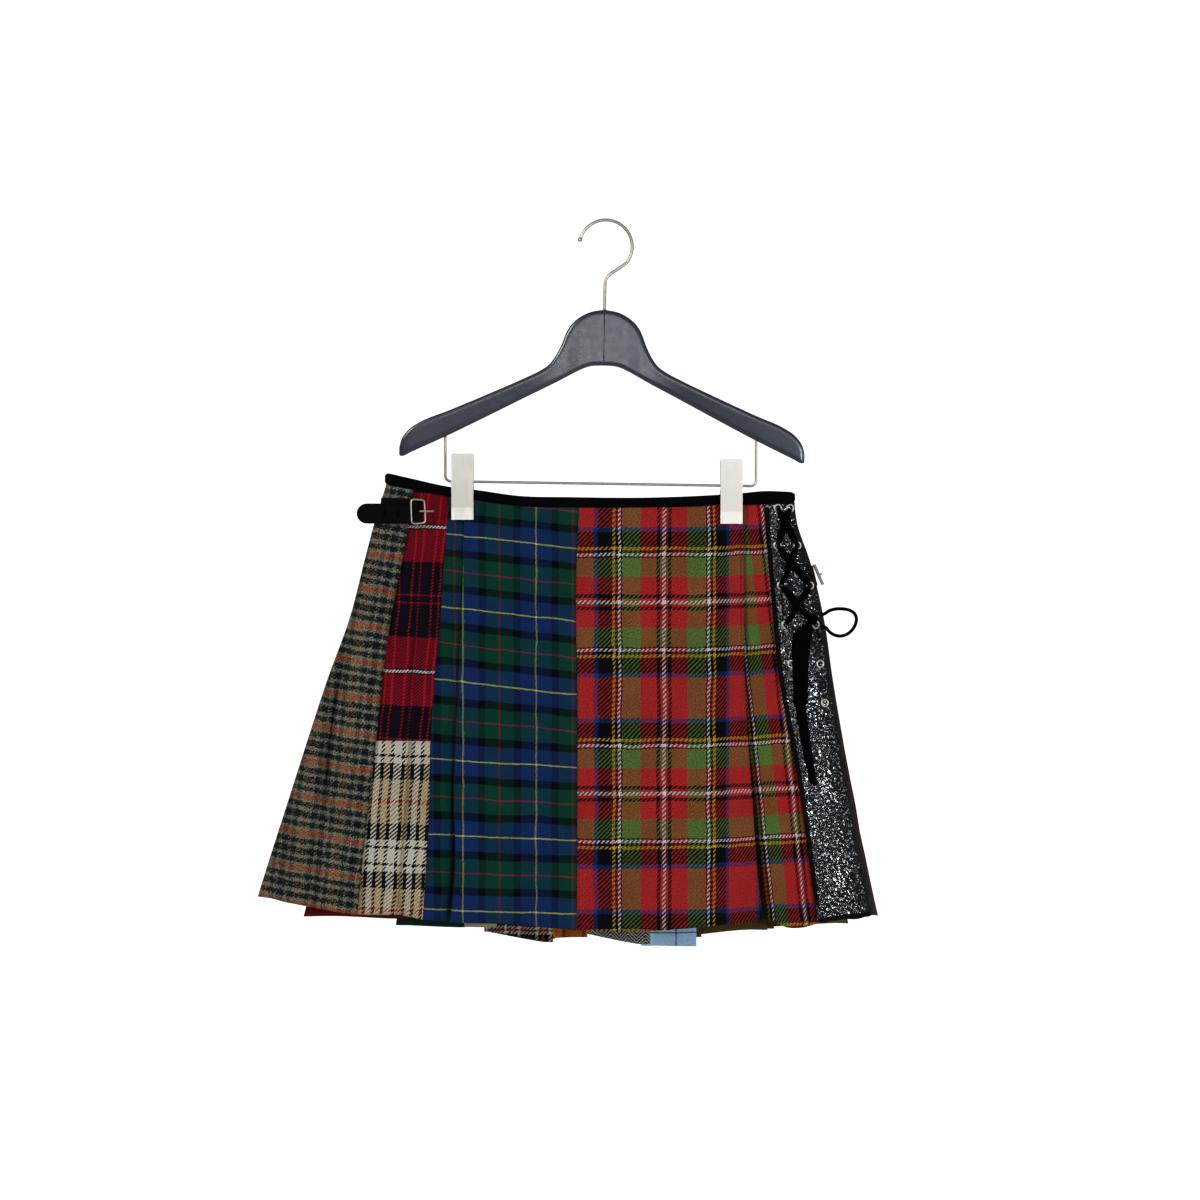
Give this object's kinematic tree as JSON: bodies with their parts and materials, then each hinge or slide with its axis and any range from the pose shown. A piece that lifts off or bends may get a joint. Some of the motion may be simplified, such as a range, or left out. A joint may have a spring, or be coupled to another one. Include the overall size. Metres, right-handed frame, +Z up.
{
  "type": "patchwork mini kilt on clip hanger",
  "caption": "Short pleated wrap kilt of patched checked cloths with a laced leather side panel, held flat by a clip hanger with a wire hook.",
  "frame": {"origin": "inner top of the hook, where a rail or wall hook holds it", "axes": "+Z up, +X to the viewer's right, front towards -Y"},
  "size_m": [0.6201, 0.0763, 0.7312],
  "materials": {
    "nickel_wire": "nickel-plated steel wire, satin",
    "clip_steel": "pressed and brushed plate",
    "black_lacquer": "satin black lacquer on a moulded body",
    "black_binding": "woven cotton binding, navy black",
    "tweed": "houndstooth wool tweed with rust overcheck",
    "red_navy_tartan": "twill wool, red and navy",
    "camel_plaid": "twill wool, camel, cream and black",
    "blue_green_tartan": "fine twill wool, blue and green with yellow and red lines",
    "red_tartan": "brushed twill wool, red and green with white and yellow lines",
    "black_leather": "crinkled patent leather, glossy",
    "strap_leather": "plain black strap leather",
    "dark_red_cloth": "wool twill",
    "olive_cloth": "wool check, olive and yellow",
    "brown_cloth": "wool check, brown",
    "light_blue_cloth": "wool with a navy windowpane",
    "grey_herringbone": "herringbone wool",
    "orange_cloth": "wool check, orange and black",
    "dark_plaid": "wool plaid, cream, black and red",
    "beige_twill": "wool twill, beige",
    "bottle_green": "wool twill, bottle green",
    "lace_cotton": "flat woven cotton lace, black"
  },
  "bodies": {
    "root": {"hanger_hook": "nickel_wire", "clip_bar": "nickel_wire", "buckle_left_frame": "nickel_wire", "buckle_left_prong": "nickel_wire", "buckle_right_frame": "nickel_wire", "buckle_right_prong": "nickel_wire", "clip_left_front": "clip_steel", "clip_left_back": "clip_steel", "clip_left_spring": "clip_steel", "clip_right_front": "clip_steel", "clip_right_back": "clip_steel", "clip_right_spring": "clip_steel", "eyelet_left_1": "clip_steel", "eyelet_left_2": "clip_steel", "eyelet_left_3": "clip_steel", "eyelet_left_4": "clip_steel", "eyelet_left_5": "clip_steel", "eyelet_left_6": "clip_steel", "eyelet_right_1": "clip_steel", "eyelet_right_2": "clip_steel", "eyelet_right_3": "clip_steel", "eyelet_right_4": "clip_steel", "eyelet_right_5": "clip_steel", "eyelet_right_6": "clip_steel", "hanger_arm_left": "black_lacquer", "hanger_arm_right": "black_lacquer", "waistband_front": "black_binding", "waistband_back": "black_binding", "tweed_panel": "tweed", "red_navy_panel": "red_navy_tartan", "camel_patch_left": "camel_plaid", "camel_patch_right": "camel_plaid", "blue_green_panel": "blue_green_tartan", "red_tartan_panel": "red_tartan", "leather_panel": "black_leather", "strap_left": "strap_leather", "strap_left_under": "strap_leather", "strap_right": "strap_leather", "back_dark_red_right": "dark_red_cloth", "back_dark_red_left": "dark_red_cloth", "back_olive": "olive_cloth", "back_brown": "brown_cloth", "back_light_blue": "light_blue_cloth", "back_grey_herringbone": "grey_herringbone", "back_orange": "orange_cloth", "back_dark_plaid": "dark_plaid", "back_beige_twill": "beige_twill", "back_bottle_green": "bottle_green", "lace_knot": "lace_cotton", "lace_loop": "lace_cotton", "lace_end": "lace_cotton", "lace_over_1": "lace_cotton", "lace_over_2": "lace_cotton", "lace_over_3": "lace_cotton", "lace_under_1": "lace_cotton", "lace_under_2": "lace_cotton", "lace_under_3": "lace_cotton"}
  },
  "joints": []
}
